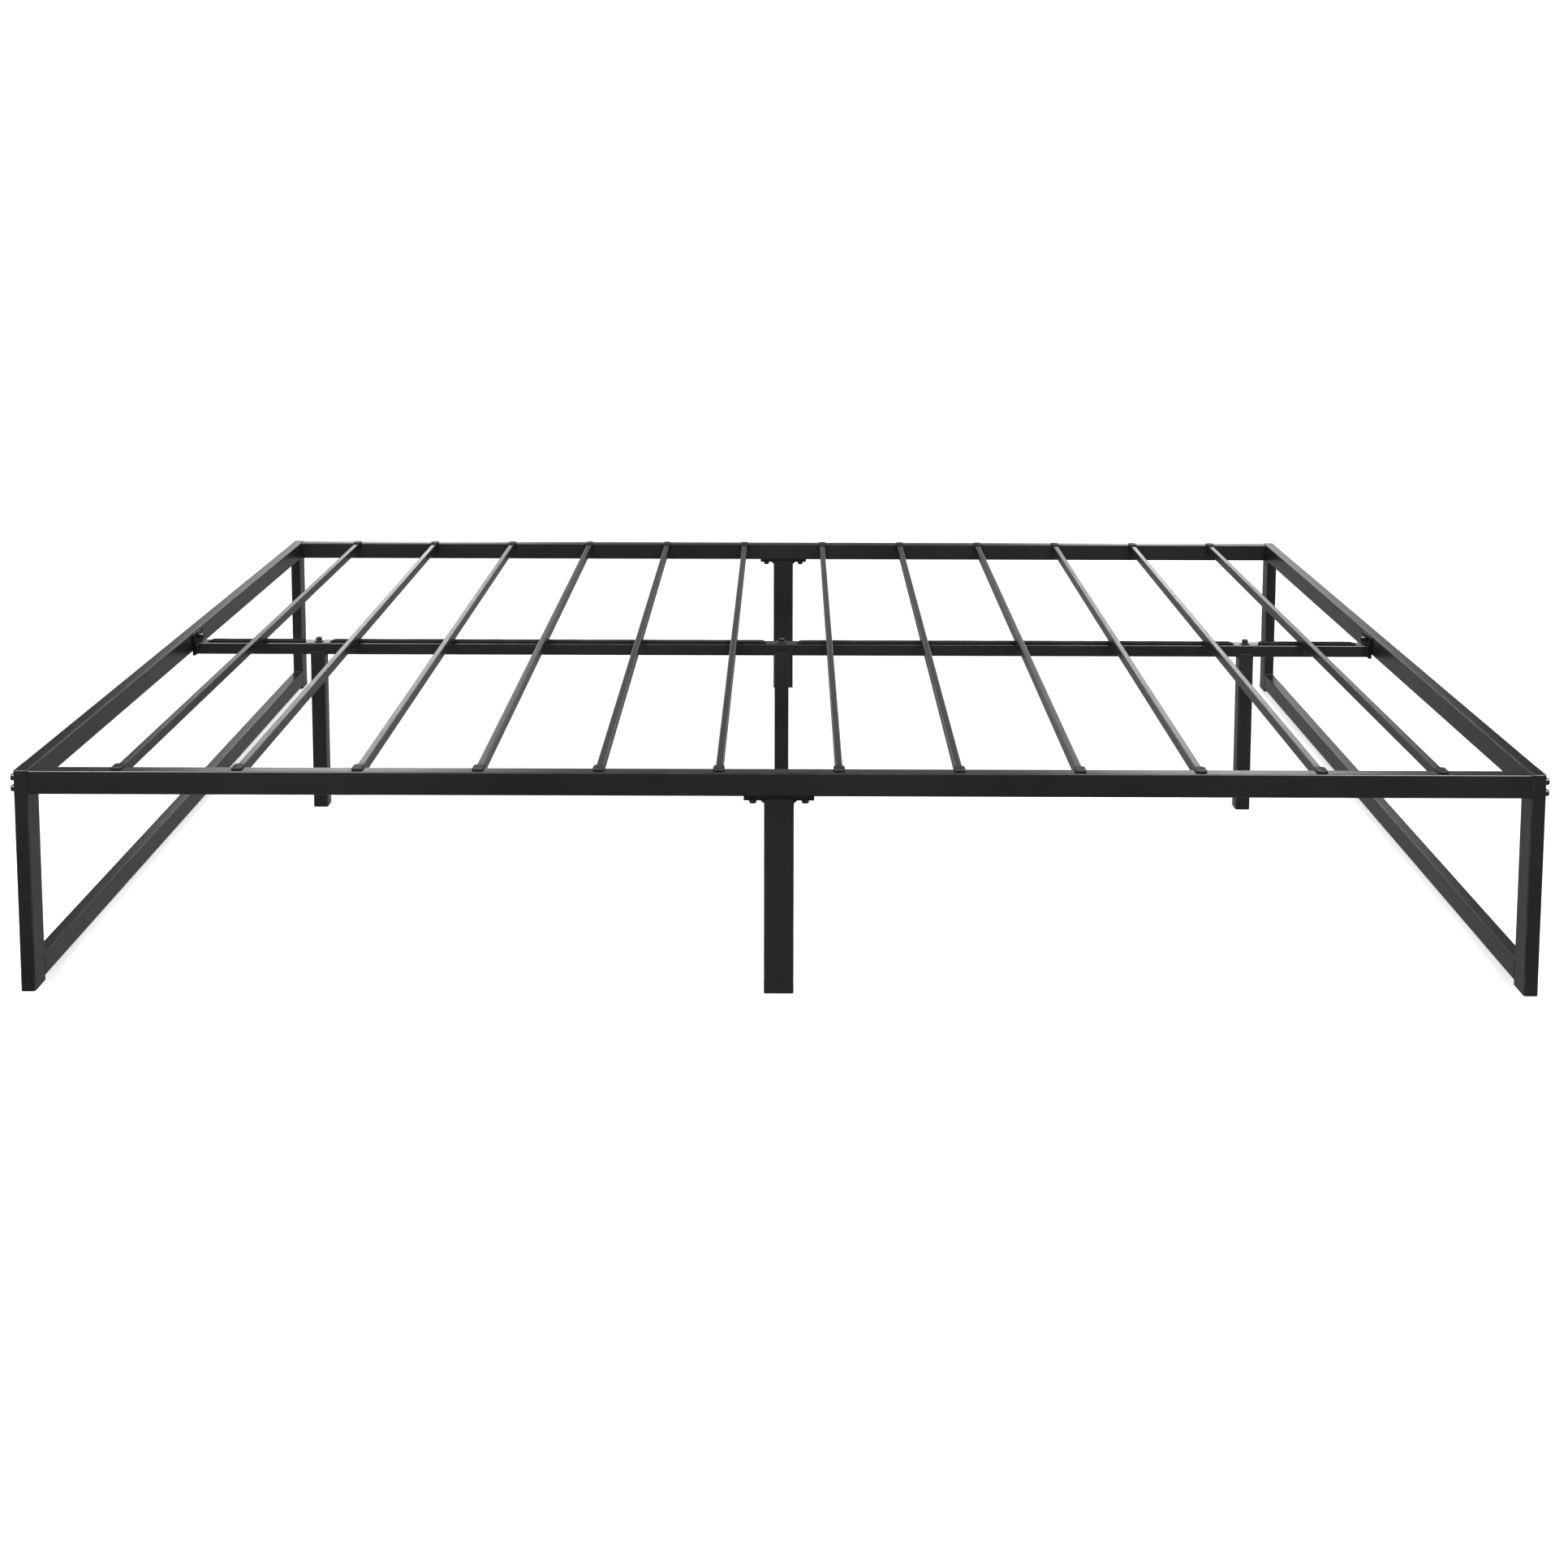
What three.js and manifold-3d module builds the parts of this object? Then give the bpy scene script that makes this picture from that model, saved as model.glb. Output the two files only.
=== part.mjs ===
// A bolted steel platform bed frame. Millimetres, +Z up.
// +X runs along the bed, -Y is the front side rail and the floor is Z = 0, under the middle of the frame.
import * as THREE from "three";
import { mergeVertices } from "three/addons/utils/BufferGeometryUtils.js";
import Module from "manifold-3d";

const wasm = await Module();
wasm.setup();

// Overall sizes
const bedLength = 2032;
const bedWidth = 1524;
const bedHeight = 304.8;

// Gaps
const fitGap = 0.3; // between two pieces that touch, are welded or rest on each other
const boltClearance = 0.4; // round a bolt's shank or a peg
const cutterSpare = 5; // how far a cutter reaches past what it goes through
const mergeDistance = 1e-4; // points this close are one point

// Tubes: each width is the tube's smaller or across size, and each wall is cold-rolled sheet
const tubeWall = 1.2;
const tubeRadius = 2;
const smallestBoreRadius = 0.4;
const arcDivisions = 1; // each rounded corner has twice as many flats
const endTubeWidth = 19; // X size of the legs and rails of an end frame
const legDepth = 40; // Y size of a corner leg
const topRailHeight = 32;
const bottomRailHeight = 30;
const bottomRailLift = 6; // floor to the underside of an end frame's bottom rail
const sideRailDepth = 20;
const sideRailHeight = 32;
const sideRailSetback = 1; // behind the outer face of the legs
const sideRailDrop = 1; // below the top of the legs
const endPlate = 4; // plate welded into each end of a side rail

// Middle side legs
const middleLegWidth = 40;
const middleLegDepth = 20;
const middlePlateLength = 94;
const middlePlateThickness = 5;
const middleBoltSpacing = 70;
const gussetSize = 4;
const gussetSink = 0.2; // into the plate
const gussetLip = 0.1; // thickness left at the gusset's outer end
const nutRadius = 5;
const nutHeight = 5;

// Slats
const slatCount = 12;
const slatWidth = 10;
const slatHeight = 15;
const slatDrop = 1.3; // below the top of the legs
const firstSlatInset = 114.8; // end rail's inner face to the middle of the first slat
const capBody = 9.7; // how far a cap's body stands between the slat's tube and the side rail
const capBodyWidth = 13;
const capTabWidth = 15.6;
const capTabReach = 13; // over the side rail
const capTabThickness = 2.4;
const capNoseShare = 0.6; // of the tab's thickness, cut off its nose
const capOverlap = 1; // of a cap's body onto the tube
const capPegRadius = 3;
const capPegLength = 8;
const capPegSink = 0.5; // into the tab
const capVentRadius = 1.5;

// Centre rail, its pads and its end brackets
const centreRailDepth = 25;
const centreRailHeight = 20;
const padThickness = 1.9;
const padDepth = 18;
const padBoltGap = 20; // from a bolt's axis to the end of a pad, at the outer legs
const padMiddleGap = 26; // the same at the middle leg
const padEndGap = 18; // from a bracket to the end of a pad
const bracketThickness = 4;
const bracketWidth = 50;
const bracketTopDrop = 1.3;
const bracketBoltDrop = 8.8;

// Centre legs
const centreLegWidth = 24;
const centreLegInset = 209; // end rail's inner face to the middle of an outer centre leg
const earHeight = 5; // how far a leg's front and back walls rise beside the centre rail
const saddleDrop = 4.5; // how far its side walls stay below the centre rail
const saddlePlate = 4;

// Foot plugs
const plugFlange = 2;
const plugInsert = 14;
const plugGap = 0.4;

// Fasteners: each has a washer, a domed head with a hexagon socket, and a plain shank
const shankRadius = 3;
const socketRadius = 2.3;
const socketDepth = 2.6;
const boltSides = 12;
const pegSides = 8;
const hexagonSides = 6;
const domeRows = [
  [1, 0.65],
  [0.8, 0.92],
  [0.6, 1],
]; // shares of a bolt head's radius and height
const lowerBoltRise = 5.7; // side rail's underside to the lower corner bolt
const cornerBoltSpacing = 15;
const cornerBolt = { washerRadius: 5.2, washer: 1.2, headRadius: 4.9, head: 5, grip: 32 };
const middleBolt = { washerRadius: 6.4, washer: 1.2, headRadius: 5.2, head: 4.6, grip: 18 };
const centreBolt = { washerRadius: 7.5, washer: 1.4, headRadius: 5.4, head: 5.4, grip: 32 };
const bracketBolt = { washerRadius: 6.2, washer: 3, headRadius: 5.4, head: 6, grip: 16 };

// Heights and places that follow from the sizes above
const endInnerX = bedLength / 2 - endTubeWidth;
const frontY = bedWidth / 2;
const railOuterY = frontY - sideRailSetback;
const railInnerY = railOuterY - sideRailDepth;
const railY = (railOuterY + railInnerY) / 2;
const railTop = bedHeight - sideRailDrop;
const railBottom = railTop - sideRailHeight;
const slatTop = bedHeight - slatDrop;
const slatBottom = slatTop - slatHeight;
const centreRailTop = slatBottom - padThickness - 2 * fitGap;
const centreRailBottom = centreRailTop - centreRailHeight;
const centreLegX = endInnerX - centreLegInset;
const slatPitch = (2 * (endInnerX - firstSlatInset)) / (slatCount - 1);
const tubeBase = plugFlange + fitGap;
const centreLegDepth = centreRailDepth + 2 * (tubeWall + fitGap);
const cornerBoltHeights = [0, 1].map((i) => railBottom + lowerBoltRise + i * cornerBoltSpacing);

const finish = (color, roughness, metalness) =>
  new THREE.MeshStandardMaterial({ color, roughness, metalness });
const powderCoat = finish(0x232426, 0.55, 0.3);
const blackZinc = finish(0x141416, 0.3, 0.8);
const plastic = finish(0x1d1d1f, 0.6, 0);
const foam = finish(0x2b2b2d, 0.95, 0);

// Booleans
function solidOf(geometry) {
  const bare = geometry.clone();
  bare.deleteAttribute("normal");
  bare.deleteAttribute("uv");
  const merged = mergeVertices(bare, mergeDistance);
  return new wasm.Manifold(
    new wasm.Mesh({
      numProp: 3,
      vertProperties: merged.attributes.position.array,
      triVerts: new Uint32Array(merged.index.array),
    }),
  );
}

function geometryOf(solid) {
  const mesh = solid.getMesh();
  const geometry = new THREE.BufferGeometry();
  geometry.setAttribute("position", new THREE.BufferAttribute(mesh.vertProperties, 3));
  geometry.setIndex(new THREE.BufferAttribute(mesh.triVerts, 1));
  geometry.computeVertexNormals();
  return geometry;
}

const join = (first, ...rest) =>
  geometryOf(rest.reduce((sum, part) => sum.add(solidOf(part)), solidOf(first)));
const cut = (first, ...rest) =>
  geometryOf(rest.reduce((left, part) => left.subtract(solidOf(part)), solidOf(first)));

// Basic shapes, each centred on the origin
function roundedRectangle(path, width, height, radius) {
  const x = width / 2;
  const y = height / 2;
  const quarter = Math.PI / 2;
  path.moveTo(x, -y + radius);
  path.absarc(x - radius, y - radius, radius, 0, quarter);
  path.absarc(-x + radius, y - radius, radius, quarter, 2 * quarter);
  path.absarc(-x + radius, -y + radius, radius, 2 * quarter, 3 * quarter);
  path.absarc(x - radius, -y + radius, radius, 3 * quarter, 4 * quarter);
  return path;
}

function extruded(shape, length) {
  const geometry = new THREE.ExtrudeGeometry(shape, {
    depth: length,
    bevelEnabled: false,
    curveSegments: arcDivisions,
  });
  return geometry.translate(0, 0, -length / 2);
}

// A bar of rounded section along Z
const bar = (width, height, length) =>
  extruded(roundedRectangle(new THREE.Shape(), width, height, tubeRadius), length);

// A square-cut tube along Z, open at both ends
function tube(width, height, length) {
  const shape = roundedRectangle(new THREE.Shape(), width, height, tubeRadius);
  const boreRadius = Math.max(tubeRadius - tubeWall, smallestBoreRadius);
  const boreWidth = width - 2 * tubeWall;
  const boreHeight = height - 2 * tubeWall;
  shape.holes.push(roundedRectangle(new THREE.Path(), boreWidth, boreHeight, boreRadius));
  return extruded(shape, length);
}

const box = (x, y, z) => new THREE.BoxGeometry(x, y, z);
const turned = {
  x: (geometry) => geometry.rotateY(Math.PI / 2).rotateX(Math.PI / 2), // width along Y, height along Z
  y: (geometry) => geometry.rotateX(Math.PI / 2), // width along X, height along Z
};

// A round pin or hole cutter along the named axis
function pin(radius, length, axis, sides = boltSides) {
  const geometry = new THREE.CylinderGeometry(radius, radius, length, sides);
  if (axis === "x") geometry.rotateZ(Math.PI / 2);
  if (axis === "z") geometry.rotateX(Math.PI / 2);
  return geometry;
}

// A cutter whose flats clear a shank of the given radius
const clearanceHole = (radius, length, axis, sides = boltSides) =>
  pin((radius + boltClearance) / Math.cos(Math.PI / sides), length, axis, sides);

// Length of a cutter whose middle is in the middle of what it goes through, or at one of its faces
const through = (thickness) => thickness + 2 * cutterSpare;
const fromFace = (thickness) => 2 * (thickness + cutterSpare);

// Placing
const bed = new THREE.Group();

function place(name, geometry, material, x, y, z) {
  const mesh = new THREE.Mesh(geometry, material);
  mesh.name = name;
  mesh.position.set(x, y, z);
  bed.add(mesh);
  return mesh;
}

// A leg tube: its foot is open for the plug, and a welded plate closes its top
function closedLeg(width, depth, height) {
  const lid = bar(width, depth, tubeWall).translate(0, 0, (height - tubeWall) / 2);
  return join(tube(width, depth, height), lid);
}

// A foot plug: a flange as wide as the tube, and an insert that fills its bore
function footPlug(width, depth) {
  const slack = 2 * (tubeWall + plugGap);
  const insert = box(width - slack, depth - slack, plugInsert);
  return join(
    bar(width, depth, plugFlange).translate(0, 0, plugFlange / 2),
    insert.translate(0, 0, plugFlange + plugInsert / 2),
  );
}

// A bolt with its head towards +Z and its washer's seat at Z = 0
function bolt({ washerRadius, washer, headRadius, head, grip }) {
  const top = washer + head;
  const profile = [
    [0, -grip],
    [shankRadius, -grip],
    [shankRadius, 0],
    [washerRadius, 0],
    [washerRadius, washer],
    [headRadius, washer],
    ...domeRows.map(([across, up]) => [headRadius * across, washer + head * up]),
    [0, top],
  ].map(([radius, height]) => new THREE.Vector2(radius, height));
  const body = new THREE.LatheGeometry(profile, boltSides).rotateX(Math.PI / 2);
  const socket = pin(socketRadius, 2 * socketDepth, "z", hexagonSides).translate(0, 0, top);
  return cut(body, socket);
}

// End frames: two legs, and a top and a bottom rail welded between them
const legHeight = bedHeight - tubeBase;
const legX = bedLength / 2 - endTubeWidth / 2;
const legY = frontY - legDepth / 2;
const endRailLength = bedWidth - 2 * legDepth - 2 * fitGap;

function cornerLeg(side) {
  const holes = cornerBoltHeights.map((height) =>
    clearanceHole(shankRadius, through(endTubeWidth), "x").translate(
      0,
      side * (railY - legY),
      height - tubeBase - legHeight / 2,
    ),
  );
  return cut(closedLeg(endTubeWidth, legDepth, legHeight), ...holes);
}

function endTopRail(end) {
  const rail = turned.y(tube(endTubeWidth, topRailHeight, endRailLength));
  const hole = clearanceHole(shankRadius, fromFace(tubeWall), "x").translate(
    (-end * endTubeWidth) / 2,
    0,
    topRailHeight / 2 - bracketBoltDrop,
  );
  return cut(rail, hole);
}

const ends = { left: -1, right: 1 };
const sides = { front: -1, back: 1 };

for (const [endName, end] of Object.entries(ends)) {
  for (const [sideName, side] of Object.entries(sides)) {
    const name = `${endName}_${sideName}`;
    place(
      `${name}_leg`,
      cornerLeg(side),
      powderCoat,
      end * legX,
      side * legY,
      tubeBase + legHeight / 2,
    );
    place(`${name}_foot_plug`, footPlug(endTubeWidth, legDepth), plastic, end * legX, side * legY, 0);
    cornerBoltHeights.forEach((height, i) => {
      const screw = place(
        `${name}_${i ? "upper" : "lower"}_bolt`,
        bolt(cornerBolt),
        blackZinc,
        end * (bedLength / 2 + fitGap),
        side * railY,
        height,
      );
      screw.rotation.y = (end * Math.PI) / 2;
    });
  }
  place(
    `${endName}_end_top_rail`,
    endTopRail(end),
    powderCoat,
    end * legX,
    0,
    bedHeight - topRailHeight / 2,
  );
  place(
    `${endName}_end_bottom_rail`,
    turned.y(tube(endTubeWidth, bottomRailHeight, endRailLength)),
    powderCoat,
    end * legX,
    0,
    bottomRailLift + bottomRailHeight / 2,
  );
}

// Side rails: a tube with a threaded plate in each end, holes for the slat pegs and two nuts underneath
const sideRailLength = 2 * (endInnerX - fitGap);
const slatXs = Array.from({ length: slatCount }, (_, i) => (i - (slatCount - 1) / 2) * slatPitch);

function sideRail() {
  const rail = turned.x(tube(sideRailDepth, sideRailHeight, sideRailLength));
  const plates = [-1, 1].map((end) =>
    box(endPlate, sideRailDepth - tubeWall, sideRailHeight - tubeWall).translate(
      end * (sideRailLength / 2 - endPlate / 2),
      0,
      0,
    ),
  );
  const nuts = [-1, 1].map((end) =>
    pin(nutRadius, nutHeight, "z", hexagonSides).translate(
      (end * middleBoltSpacing) / 2,
      0,
      -sideRailHeight / 2 + tubeWall / 2 + nutHeight / 2,
    ),
  );
  const endHoles = cornerBoltHeights.map((height) =>
    clearanceHole(shankRadius, through(sideRailLength), "x").translate(
      0,
      0,
      height - (railTop + railBottom) / 2,
    ),
  );
  const nutHoles = [-1, 1].map((end) =>
    clearanceHole(shankRadius, fromFace(nutHeight + tubeWall), "z").translate(
      (end * middleBoltSpacing) / 2,
      0,
      -sideRailHeight / 2,
    ),
  );
  const pegHoles = slatXs.map((x) =>
    clearanceHole(capPegRadius, fromFace(tubeWall), "z", pegSides).translate(x, 0, sideRailHeight / 2),
  );
  return cut(join(rail, ...plates, ...nuts), ...endHoles, ...nutHoles, ...pegHoles);
}

// Middle legs: a tube with a bolting plate on top and a small gusset at each side
const middlePlateTop = railBottom - fitGap;
const middleLegHeight = middlePlateTop - middlePlateThickness - tubeBase;
const middleLegY = railInnerY + middleLegDepth / 2;

function middleLeg() {
  const corner = new THREE.Shape();
  corner.moveTo(-tubeWall / 2, gussetSink);
  corner.lineTo(gussetSize, gussetSink);
  corner.lineTo(gussetSize, -gussetLip);
  corner.lineTo(0, -gussetSize);
  corner.lineTo(-tubeWall / 2, -gussetSize);
  corner.closePath();
  const gusset = new THREE.ExtrudeGeometry(corner, {
    depth: middleLegDepth - 2 * tubeRadius,
    bevelEnabled: false,
  })
    .rotateX(Math.PI / 2)
    .translate(middleLegWidth / 2, middleLegDepth / 2 - tubeRadius, middleLegHeight / 2);
  const plate = box(middlePlateLength, middleLegDepth, middlePlateThickness).translate(
    0,
    0,
    (middleLegHeight + middlePlateThickness) / 2,
  );
  const holes = [-1, 1].map((end) =>
    clearanceHole(shankRadius, through(middlePlateThickness), "z").translate(
      (end * middleBoltSpacing) / 2,
      0,
      (middleLegHeight + middlePlateThickness) / 2,
    ),
  );
  const leg = join(
    tube(middleLegWidth, middleLegDepth, middleLegHeight),
    plate,
    gusset,
    gusset.clone().rotateZ(Math.PI),
  );
  return cut(leg, ...holes);
}

for (const [sideName, side] of Object.entries(sides)) {
  place(
    `${sideName}_side_rail`,
    sideRail(),
    powderCoat,
    0,
    side * railY,
    (railTop + railBottom) / 2,
  );
  place(
    `${sideName}_middle_leg`,
    middleLeg(),
    powderCoat,
    0,
    side * middleLegY,
    tubeBase + middleLegHeight / 2,
  );
  place(
    `${sideName}_middle_foot_plug`,
    footPlug(middleLegWidth, middleLegDepth),
    plastic,
    0,
    side * middleLegY,
    0,
  );
  for (const [endName, end] of Object.entries(ends)) {
    const screw = place(
      `${sideName}_middle_${endName}_bolt`,
      bolt(middleBolt),
      blackZinc,
      (end * middleBoltSpacing) / 2,
      side * middleLegY,
      middlePlateTop - middlePlateThickness - fitGap,
    );
    screw.rotation.x = Math.PI;
  }
}

// Centre rail between the two end brackets
const bracketX = endInnerX - fitGap - bracketThickness / 2;
const centreRailLength = 2 * (endInnerX - bracketThickness - 2 * fitGap);
const centreLegXs = { left: -centreLegX, middle: 0, right: centreLegX };

function centreRail() {
  const rail = turned.x(tube(centreRailDepth, centreRailHeight, centreRailLength));
  const holes = Object.values(centreLegXs).map((x) =>
    clearanceHole(shankRadius, through(centreRailHeight), "z").translate(x, 0, 0),
  );
  return cut(rail, ...holes);
}

const bracketTop = bedHeight - bracketTopDrop;
const bracketHeight = bracketTop - centreRailBottom;

function bracket() {
  const plate = turned.x(bar(bracketWidth, bracketHeight, bracketThickness));
  const hole = clearanceHole(shankRadius, through(bracketThickness), "x").translate(
    0,
    0,
    bedHeight - bracketBoltDrop - (bracketTop + centreRailBottom) / 2,
  );
  return cut(plate, hole);
}

place(
  "centre_rail",
  centreRail(),
  powderCoat,
  0,
  0,
  centreRailTop - centreRailHeight / 2,
);

for (const [endName, end] of Object.entries(ends)) {
  place(
    `${endName}_centre_bracket`,
    bracket(),
    powderCoat,
    end * bracketX,
    0,
    (bracketTop + centreRailBottom) / 2,
  );
  const screw = place(
    `${endName}_bracket_bolt`,
    bolt(bracketBolt),
    blackZinc,
    end * (bracketX - bracketThickness / 2 - fitGap),
    0,
    bedHeight - bracketBoltDrop,
  );
  screw.rotation.y = (-end * Math.PI) / 2;
}

// Centre legs: the front and back walls stand up as ears, and the rail sits between them on a threaded plate
const earTop = centreRailBottom + earHeight;
const saddleTop = centreRailBottom - saddleDrop;
const centreLegHeight = earTop - tubeBase;

function centreLeg() {
  const body = tube(centreLegWidth, centreLegDepth, centreLegHeight);
  const topZ = centreLegHeight / 2;
  const notchDepth = earTop - saddleTop;
  const notch = box(
    2 * centreLegWidth,
    centreLegDepth - 2 * tubeWall,
    2 * notchDepth,
  ).translate(0, 0, topZ);
  const plate = box(
    centreLegWidth - tubeWall,
    centreLegDepth - tubeWall,
    saddlePlate,
  ).translate(0, 0, topZ - earHeight - fitGap - saddlePlate / 2);
  const hole = clearanceHole(shankRadius, fromFace(saddlePlate), "z").translate(
    0,
    0,
    topZ - earHeight,
  );
  return cut(join(cut(body, notch), plate), hole);
}

for (const [legName, x] of Object.entries(centreLegXs)) {
  place(`${legName}_centre_leg`, centreLeg(), powderCoat, x, 0, tubeBase + centreLegHeight / 2);
  place(`${legName}_centre_foot_plug`, footPlug(centreLegWidth, centreLegDepth), plastic, x, 0, 0);
  place(`${legName}_centre_bolt`, bolt(centreBolt), blackZinc, x, 0, centreRailTop + fitGap);
}

// Foam pads on the centre rail, between its bolts
const padBounds = [
  [-(endInnerX - bracketThickness - padEndGap), -(centreLegX + padBoltGap)],
  [-(centreLegX - padBoltGap), -padMiddleGap],
  [padMiddleGap, centreLegX - padBoltGap],
  [centreLegX + padBoltGap, endInnerX - bracketThickness - padEndGap],
];

padBounds.forEach(([from, to], i) => {
  place(
    `centre_rail_pad_${i + 1}`,
    box(to - from, padDepth, padThickness),
    foam,
    (from + to) / 2,
    0,
    centreRailTop + fitGap + padThickness / 2,
  );
});

// Slats: a tube with a snap-in cap at each end, whose tab lies on the side rail and whose peg drops into it
const capFaceY = railInnerY - fitGap;
const slatTubeLength = 2 * (capFaceY - capBody);
const slatMiddleZ = (slatTop + slatBottom) / 2;
const tabBottom = railTop + fitGap;
const tabTop = tabBottom + capTabThickness;

function slatCap() {
  const backY = slatTubeLength / 2 - capOverlap;
  const body = box(capBodyWidth, capFaceY - backY, tabTop - slatBottom).translate(
    0,
    (capFaceY + backY) / 2,
    (tabTop + slatBottom) / 2 - slatMiddleZ,
  );
  const tabFrontY = railInnerY + capTabReach;
  const rounded = capTabThickness * capNoseShare;
  const side = new THREE.Shape();
  side.moveTo(backY + capTabThickness, tabTop - slatMiddleZ);
  side.lineTo(tabFrontY - rounded, tabTop - slatMiddleZ);
  side.lineTo(tabFrontY, tabTop - rounded - slatMiddleZ);
  side.lineTo(tabFrontY, tabBottom - slatMiddleZ);
  side.lineTo(backY + capTabThickness, tabBottom - slatMiddleZ);
  side.closePath();
  // The side profile lies in YZ, and is carried across the tab's width
  const tab = new THREE.ExtrudeGeometry(side, { depth: capTabWidth, bevelEnabled: false })
    .rotateX(Math.PI / 2)
    .rotateZ(Math.PI / 2)
    .translate(-capTabWidth / 2, 0, 0);
  const peg = pin(capPegRadius, capPegLength, "z", pegSides).translate(
    0,
    railY,
    tabBottom + capPegSink - capPegLength / 2 - slatMiddleZ,
  );
  return join(body, tab, peg);
}

function slat() {
  const body = turned.y(tube(slatWidth, slatHeight, slatTubeLength));
  const cap = slatCap();
  const vent = pin(capVentRadius, through(bedWidth), "y", hexagonSides);
  return cut(join(body, cap, cap.clone().rotateZ(Math.PI)), vent);
}

slatXs.forEach((x, i) => {
  place(`slat_${String(i + 1).padStart(2, "0")}`, slat(), powderCoat, x, 0, slatMiddleZ);
});

export default bed;
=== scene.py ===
import math

import bpy
import numpy as np
from mathutils import Matrix, Quaternion, Vector


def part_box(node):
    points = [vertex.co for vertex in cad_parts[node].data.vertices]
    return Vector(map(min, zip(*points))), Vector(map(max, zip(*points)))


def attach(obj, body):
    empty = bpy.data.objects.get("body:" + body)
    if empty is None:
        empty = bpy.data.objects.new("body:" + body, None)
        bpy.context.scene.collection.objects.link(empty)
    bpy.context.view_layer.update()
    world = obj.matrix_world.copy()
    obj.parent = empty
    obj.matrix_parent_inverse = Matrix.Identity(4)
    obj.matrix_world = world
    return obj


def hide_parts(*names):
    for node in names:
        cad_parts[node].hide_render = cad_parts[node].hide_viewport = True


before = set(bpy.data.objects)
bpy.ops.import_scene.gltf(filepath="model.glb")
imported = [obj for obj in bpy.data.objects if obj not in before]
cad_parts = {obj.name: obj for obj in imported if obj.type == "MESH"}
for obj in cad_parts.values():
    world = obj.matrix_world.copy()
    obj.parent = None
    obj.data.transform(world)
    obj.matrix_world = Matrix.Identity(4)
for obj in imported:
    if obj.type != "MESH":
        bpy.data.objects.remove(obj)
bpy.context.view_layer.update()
mm = 0.001
# Which coordinates run across, deep and along, for a length on each axis
axisOrder = {"x": (1, 2, 0), "y": (0, 2, 1), "z": (0, 1, 2)}
# The smallest corner radius in each kind of section
sharpestEdge = {"bar": 0.05 * mm, "bore": 0.35 * mm, "eared": 0.4 * mm}
contactGap = 0.3 * mm  # between pieces that touch
fineRim = 0.3 * mm
offAxis = (0.31, 0.87, 0.39)  # a direction that no turned piece stands along
print("frame loaded with", len(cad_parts), "CAD nodes")


# Quad (i, j) joins row i to the next row and column j to the next one; columns close on themselves
def gridQuads(rows, columns, wrapRows=False):
    i = np.arange(rows if wrapRows else rows - 1)[:, None]
    j = np.arange(columns)[None, :]
    nextRow = (i + 1) % rows * columns
    nextColumn = (j + 1) % columns
    corners = [i * columns + j, i * columns + nextColumn, nextRow + nextColumn, nextRow + j]
    return np.stack(corners, -1).reshape(-1, 4)


# Six times a closed surface's volume is the sum of a.(b x c) + a.(c x d), and a negative one is
# turned round
def facingOut(points, quads, wear):
    a, b, c, d = (points[quads[:, k]] for k in range(4))
    volume = (a * (np.cross(b, c) + np.cross(c, d))).sum()
    return points, quads if volume > 0 else quads[:, [1, 0, 3, 2]], wear


# Rings one after another, closed at both ends by a fan about the ring's middle
def closedShell(rings, wear):
    rows, columns = rings.shape[:2]
    points = np.concatenate([rings.reshape(-1, 3), rings[[0, -1]].mean(1)])
    j = np.arange(columns)
    nextJ = (j + 1) % columns
    last = (rows - 1) * columns
    start = np.full(columns, rows * columns)
    fans = [[nextJ, j, start, start], [last + j, last + nextJ, start + 1, start + 1]]
    quads = np.concatenate([gridQuads(rows, columns)] + [np.stack(f, -1) for f in fans])
    return facingOut(points, quads, np.append(wear.ravel(), [0, 0]))


# Rings that come back to the first one, as on a tube with a real wall or a washer
def loopedShell(rings, wear):
    rows, columns = rings.shape[:2]
    return facingOut(rings.reshape(-1, 3), gridQuads(rows, columns, True), wear.ravel())


# A vertex normal is the sum of the cross products of its faces' diagonals, so wide flats outweigh
# narrow rounds
def vertexNormals(points, quads):
    a, b, c, d = (points[quads[:, k]] for k in range(4))
    cross = np.cross(c - a, d - b)
    total = np.zeros_like(points)
    for k in range(4):
        np.add.at(total, quads[:, k], cross)
    return total / np.maximum(np.linalg.norm(total, axis=1, keepdims=True), 1e-15)


# Puts shells into one mesh object; a fan's triangle repeats its last corner, and that corner is dropped
def putPiece(name, shells, material, slot, *nodes):
    counts = np.cumsum([0] + [len(points) for points, _, _ in shells])
    points = np.concatenate([shell[0] for shell in shells])
    quads = np.concatenate([shell[1] + first for shell, first in zip(shells, counts)])
    wear = np.concatenate([shell[2] for shell in shells])
    kept = np.ones(quads.shape, bool)
    kept[:, 3] = quads[:, 2] != quads[:, 3]
    sides = kept.sum(1)
    mesh = bpy.data.meshes.new(name)
    mesh.vertices.add(len(points))
    mesh.vertices.foreach_set("co", points.astype(np.float32).ravel())
    mesh.loops.add(int(sides.sum()))
    mesh.loops.foreach_set("vertex_index", quads[kept].astype(np.int32))
    mesh.polygons.add(len(quads))
    mesh.polygons.foreach_set("loop_start", np.append(0, np.cumsum(sides)[:-1]).astype(np.int32))
    mesh.polygons.foreach_set("use_smooth", np.ones(len(quads), bool))
    mesh.update(calc_edges=True)
    mesh.validate()
    mesh.normals_split_custom_set_from_vertices(vertexNormals(points, quads))
    # The edge attribute lightens rounded edges in the finishes: partly real wear, partly a painted
    # highlight
    mesh.attributes.new("edgeWearAndHighlight", "FLOAT", "POINT").data.foreach_set("value", wear.astype(np.float32))
    mesh.materials.append(material)
    piece = bpy.data.objects.new(name, mesh)
    bpy.context.scene.collection.objects.link(piece)
    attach(piece, "root")
    if nodes:
        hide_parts(*nodes)
    return piece


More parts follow.
